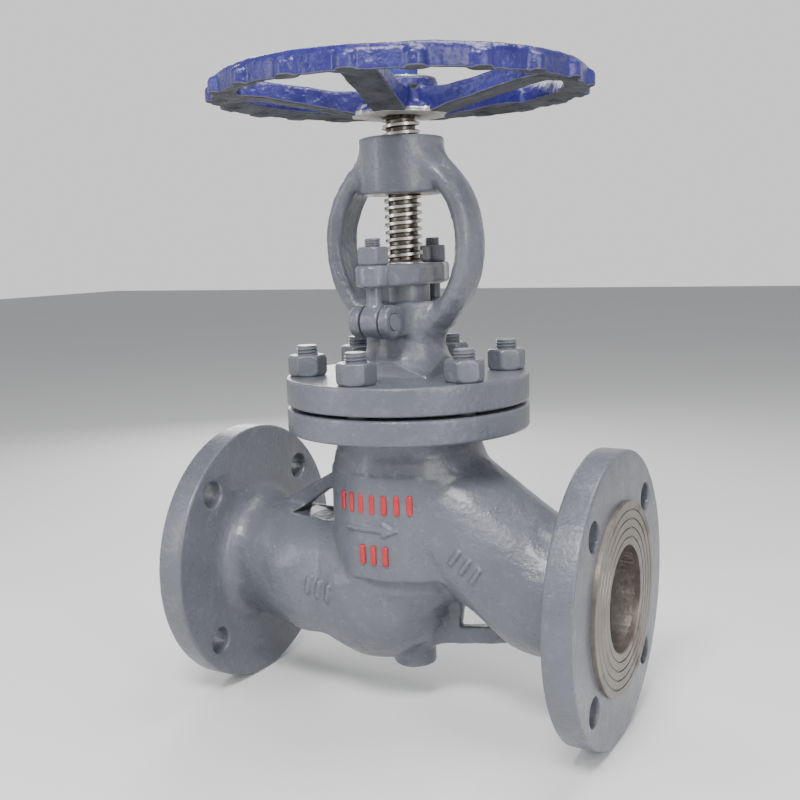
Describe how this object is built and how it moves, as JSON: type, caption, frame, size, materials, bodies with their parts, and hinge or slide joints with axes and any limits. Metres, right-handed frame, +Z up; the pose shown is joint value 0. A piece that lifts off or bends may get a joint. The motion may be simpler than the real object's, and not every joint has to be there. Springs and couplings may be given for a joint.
{
  "type": "globe valve",
  "caption": "Flanged straight-pattern globe valve with a bolted bonnet, an outside screw and yoke, a rising threaded stem and a spoked handwheel with finger lobes.",
  "frame": {"origin": "centre of the inlet flange's gasket face, on the pipe's centreline", "axes": "+X along the pipe with the flow, towards the outlet flange; +Z up the stem, towards the handwheel; +Y across, to the left when looking along the flow"},
  "size_m": [0.29, 0.2406, 0.4195],
  "materials": {
    "grey_enamel": "glossy grey enamel over a cast surface",
    "fastener_grey": "glossy grey enamel over machined steel",
    "wheel_blue": "glossy royal-blue enamel over a rough cast surface, bare grey underside",
    "wheel_nut_blue": "glossy blue enamel",
    "plate_steel": "thin rolled steel",
    "stem_steel": "turned and polished, slightly oiled",
    "seat_steel": "turned stainless steel",
    "screw_steel": "blackened steel",
    "bronze": "turned bronze",
    "gasket_graphite": "matt graphite sheet",
    "packing_graphite": "braided graphite"
  },
  "bodies": {
    "valve_body": {"body": "grey_enamel", "seat_ring": "seat_steel", "bonnet": "grey_enamel", "bonnet_gasket": "gasket_graphite", "bonnet_studs": "fastener_grey", "bonnet_nuts": "fastener_grey", "backseat_bushing": "bronze", "packing_base_ring": "seat_steel", "packing_ring_1": "packing_graphite", "packing_ring_2": "packing_graphite", "packing_ring_3": "packing_graphite", "packing_ring_4": "packing_graphite", "eye_bolt_near": "fastener_grey", "eye_bolt_far": "fastener_grey", "eye_bolt_pin_near": "fastener_grey", "eye_bolt_pin_far": "fastener_grey", "yoke_nut": "bronze", "yoke_nut_screw": "screw_steel"},
    "disc_assembly": {"disc": "seat_steel", "disc_cover": "seat_steel"},
    "stem_and_wheel": {"stem": "stem_steel", "split_ring": "bronze", "handwheel": "wheel_blue", "handwheel_plate": "plate_steel", "handwheel_nut": "wheel_nut_blue"},
    "gland": {"gland_flange": "fastener_grey", "gland_follower": "fastener_grey"},
    "near_gland_nut": {"gland_nut_near": "fastener_grey"},
    "far_gland_nut": {"gland_nut_far": "fastener_grey"}
  },
  "joints": [
    {"name": "disc_lift", "type": "slide", "parent": "valve_body", "child": "disc_assembly", "axis": [0, 0, 1], "range_m": [0, 0.02]},
    {"name": "handwheel_turn", "type": "hinge", "parent": "disc_assembly", "child": "stem_and_wheel", "pos_m": [0.145, 0, 0.3], "axis": [0, 0, 1], "range_deg": [0, 1440]},
    {"name": "gland_press", "type": "slide", "parent": "valve_body", "child": "gland", "axis": [0, 0, 1], "range_m": [-0.0035, 0], "deforming": ["packing_ring_1", "packing_ring_2", "packing_ring_3", "packing_ring_4"]},
    {"name": "near_gland_nut_turn", "type": "hinge", "parent": "gland", "child": "near_gland_nut", "pos_m": [0.145, -0.04, 0.21], "axis": [0, 0, 1], "range_deg": [-840, 0]},
    {"name": "far_gland_nut_turn", "type": "hinge", "parent": "gland", "child": "far_gland_nut", "pos_m": [0.145, 0.04, 0.21], "axis": [0, 0, 1], "range_deg": [-840, 0]}
  ],
  "couplings": [
    {"joint": "disc_lift", "follows": "handwheel_turn", "m_per_rad": 0.00079577},
    {"joint": "near_gland_nut_turn", "follows": "gland_press", "rad_per_m": 4188.8},
    {"joint": "far_gland_nut_turn", "follows": "gland_press", "rad_per_m": 4188.8}
  ]
}
